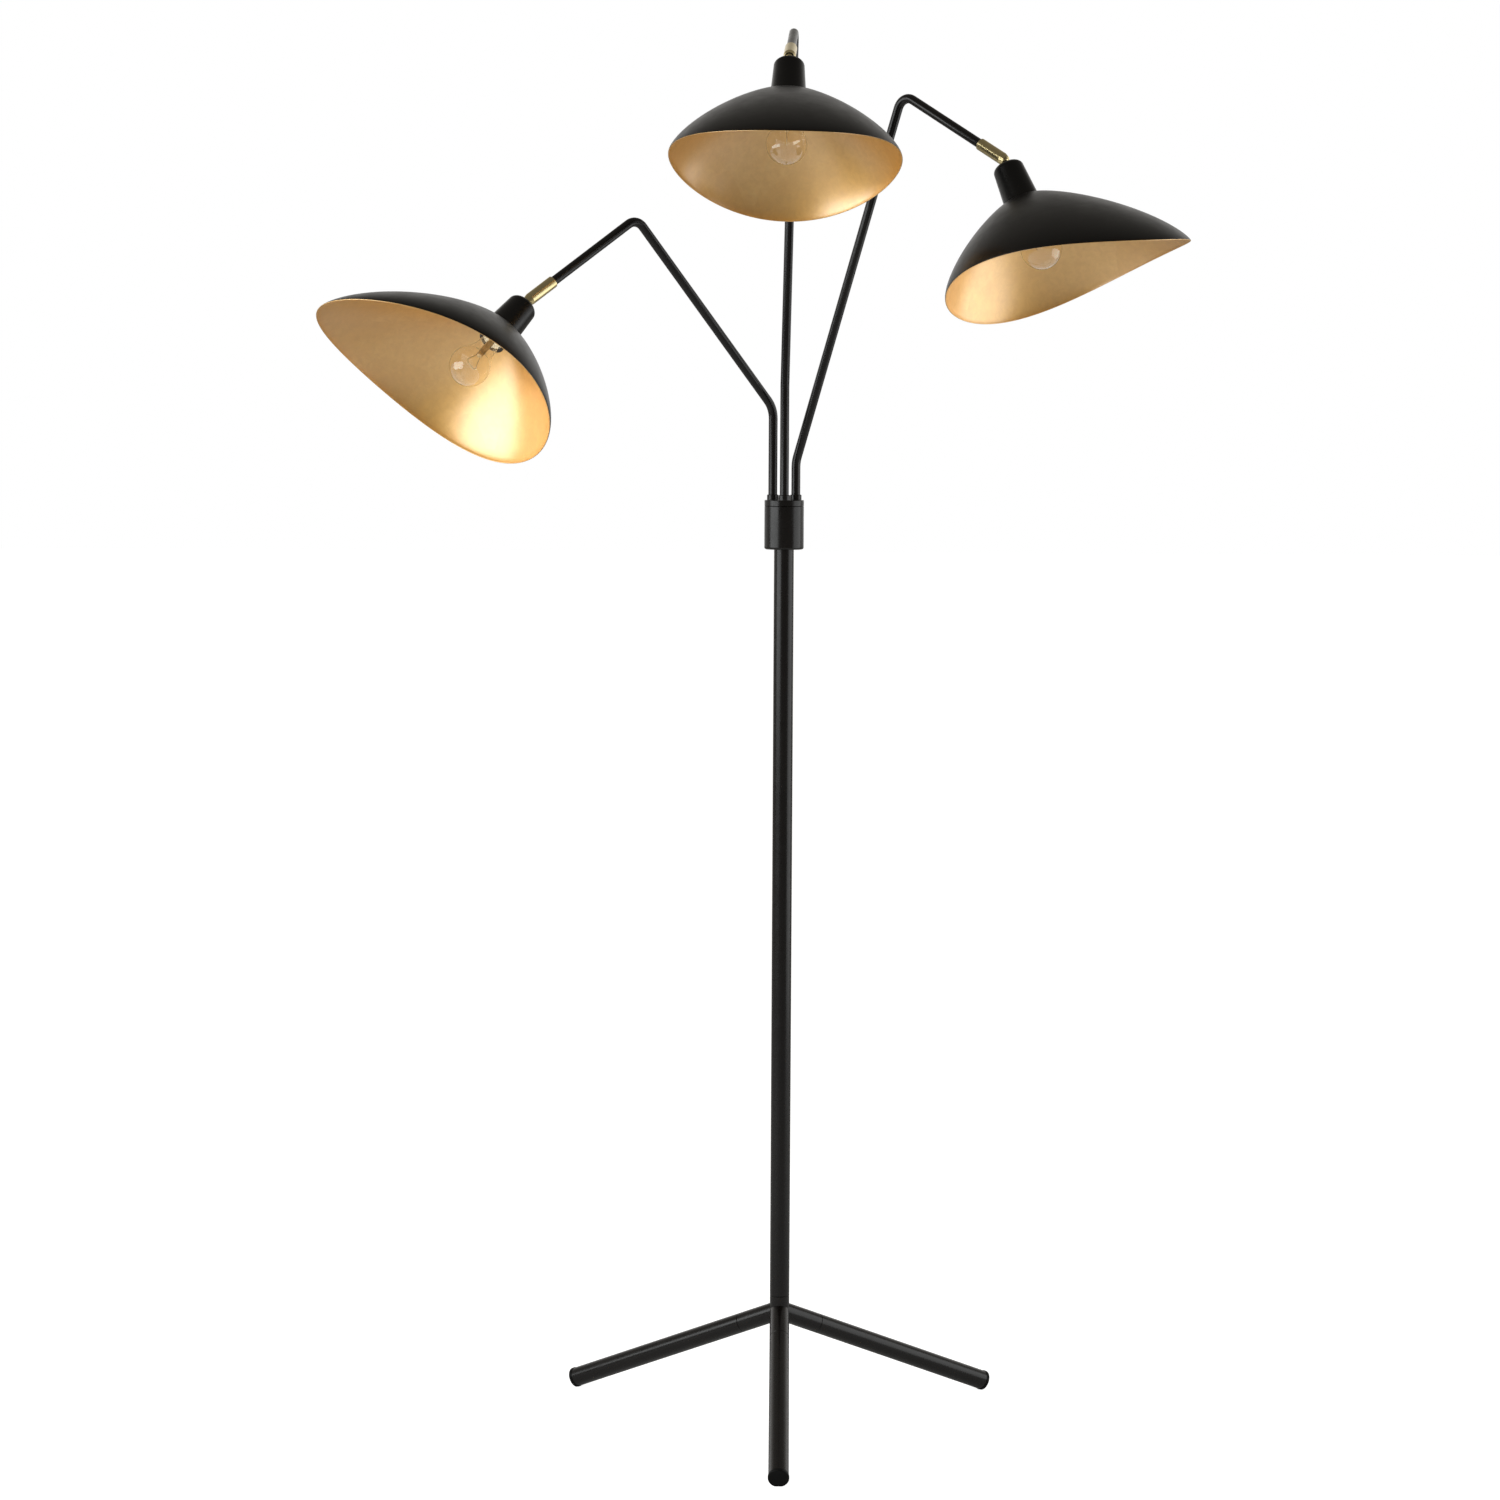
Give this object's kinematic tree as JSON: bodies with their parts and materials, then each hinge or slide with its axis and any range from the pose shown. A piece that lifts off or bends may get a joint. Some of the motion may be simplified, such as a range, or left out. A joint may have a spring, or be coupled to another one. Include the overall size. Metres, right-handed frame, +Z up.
{
  "type": "floor lamp",
  "caption": "Floor lamp on a tube tripod: long bent swivelling arms rise from a round collar, each with a brass ball joint and a cup that carries a tilting dished shade over a globe bulb.",
  "frame": {"origin": "on the floor under the pole's axis", "axes": "+Z up, -Y is the front that the picture looks at, +X is to the right of that view"},
  "size_m": [1.0328, 0.6602, 1.7846],
  "materials": {
    "black_paint": "semi-gloss black paint on steel tube",
    "cup_black": "gloss black paint on spun steel",
    "shade_metal": "spun aluminium, satin black outside and gold leaf inside",
    "brass": "polished, slightly aged brass",
    "steel": "plain steel",
    "plug_rubber": "matte black",
    "nylon": "matte black",
    "socket_black": "satin black moulding",
    "cable_black": "matte black",
    "bulb_clear": "clear",
    "bulb_inner": "clear stem with fine wires",
    "base_metal": "plated brass"
  },
  "bodies": {
    "stand": {"hub": "black_paint", "leg_front": "black_paint", "foot_plug_front": "plug_rubber", "leg_left": "black_paint", "foot_plug_left": "plug_rubber", "leg_right": "black_paint", "foot_plug_right": "plug_rubber", "leg_studs": "steel", "pole_tube": "black_paint", "pole_cable": "cable_black", "cord_bushing": "nylon", "pole_nipples": "steel", "collar_body": "black_paint", "collar_cap": "black_paint", "collar_nut": "steel", "collar_screw": "black_paint", "terminal_block": "nylon", "arm_washers": "nylon"},
    "arm_left": {"arm_tube_left": "black_paint", "arm_flange_left": "black_paint", "arm_lock_ring_left": "steel", "arm_lead_left": "cable_black"},
    "sleeve_left": {"sleeve_left": "brass"},
    "stud_left": {"ball_stud_left": "brass"},
    "head_left": {"cup_left": "cup_black", "cup_screws_left": "steel", "shade_left": "shade_metal", "shade_ring_left": "socket_black", "lamp_socket_left": "socket_black", "bulb_base_left": "base_metal", "bulb_glass_left": "bulb_clear", "bulb_filament_left": "bulb_inner"},
    "arm_middle": {"arm_tube_middle": "black_paint", "arm_flange_middle": "black_paint", "arm_lock_ring_middle": "steel", "arm_lead_middle": "cable_black"},
    "sleeve_middle": {"sleeve_middle": "brass"},
    "stud_middle": {"ball_stud_middle": "brass"},
    "head_middle": {"cup_middle": "cup_black", "cup_screws_middle": "steel", "shade_middle": "shade_metal", "shade_ring_middle": "socket_black", "lamp_socket_middle": "socket_black", "bulb_base_middle": "base_metal", "bulb_glass_middle": "bulb_clear", "bulb_filament_middle": "bulb_inner"},
    "arm_right": {"arm_tube_right": "black_paint", "arm_flange_right": "black_paint", "arm_lock_ring_right": "steel", "arm_lead_right": "cable_black"},
    "sleeve_right": {"sleeve_right": "brass"},
    "stud_right": {"ball_stud_right": "brass"},
    "head_right": {"cup_right": "cup_black", "cup_screws_right": "steel", "shade_right": "shade_metal", "shade_ring_right": "socket_black", "lamp_socket_right": "socket_black", "bulb_base_right": "base_metal", "bulb_glass_right": "bulb_clear", "bulb_filament_right": "bulb_inner"}
  },
  "joints": [
    {"name": "arm_swivel_left", "type": "hinge", "parent": "stand", "child": "arm_left", "pos_m": [-0.01472, 0.0085, 1.1984], "axis": [0, 0, 1], "range_deg": [-35, 15]},
    {"name": "sleeve_turn_left", "type": "hinge", "parent": "arm_left", "child": "sleeve_left", "pos_m": [-0.31322, -0.21889, 1.44371], "axis": [-0.6656, -0.5071, -0.5476], "range_deg": [-30, 30]},
    {"name": "head_tilt_left", "type": "hinge", "parent": "sleeve_left", "child": "stud_left", "pos_m": [-0.31322, -0.21889, 1.44371], "axis": [0.0462, -0.7603, 0.6479], "range_deg": [-7, 45]},
    {"name": "head_spin_left", "type": "hinge", "parent": "stud_left", "child": "head_left", "pos_m": [-0.31322, -0.21889, 1.44371], "axis": [0.5163, 0.5734, 0.6361], "range_deg": [-60, 60]},
    {"name": "arm_swivel_middle", "type": "hinge", "parent": "stand", "child": "arm_middle", "pos_m": [0, -0.017, 1.1984], "axis": [0, 0, 1], "range_deg": [-20, 15]},
    {"name": "sleeve_turn_middle", "type": "hinge", "parent": "arm_middle", "child": "sleeve_middle", "pos_m": [0.00319, -0.21876, 1.7386], "axis": [-0.0414, -0.9491, -0.3123], "range_deg": [-30, 30]},
    {"name": "head_tilt_middle", "type": "hinge", "parent": "sleeve_middle", "child": "stud_middle", "pos_m": [0.00319, -0.21876, 1.7386], "axis": [0.9991, -0.0428, -0.0025], "range_deg": [-38, 14]},
    {"name": "head_spin_middle", "type": "hinge", "parent": "stud_middle", "child": "head_middle", "pos_m": [0.00319, -0.21876, 1.7386], "axis": [0.0234, 0.4964, 0.8678], "range_deg": [-60, 60]},
    {"name": "arm_swivel_right", "type": "hinge", "parent": "stand", "child": "arm_right", "pos_m": [0.01472, 0.0085, 1.1984], "axis": [0, 0, 1], "range_deg": [-12, 40]},
    {"name": "sleeve_turn_right", "type": "hinge", "parent": "arm_right", "child": "sleeve_right", "pos_m": [0.26361, -0.23185, 1.61509], "axis": [0.6357, -0.6139, -0.4679], "range_deg": [-30, 30]},
    {"name": "head_tilt_right", "type": "hinge", "parent": "sleeve_right", "child": "stud_right", "pos_m": [0.26361, -0.23185, 1.61509], "axis": [0.6642, 0.7439, -0.0736], "range_deg": [-28, 25]},
    {"name": "head_spin_right", "type": "hinge", "parent": "stud_right", "child": "head_right", "pos_m": [0.26361, -0.23185, 1.61509], "axis": [-0.3356, 0.3847, 0.8599], "range_deg": [-60, 60]}
  ]
}
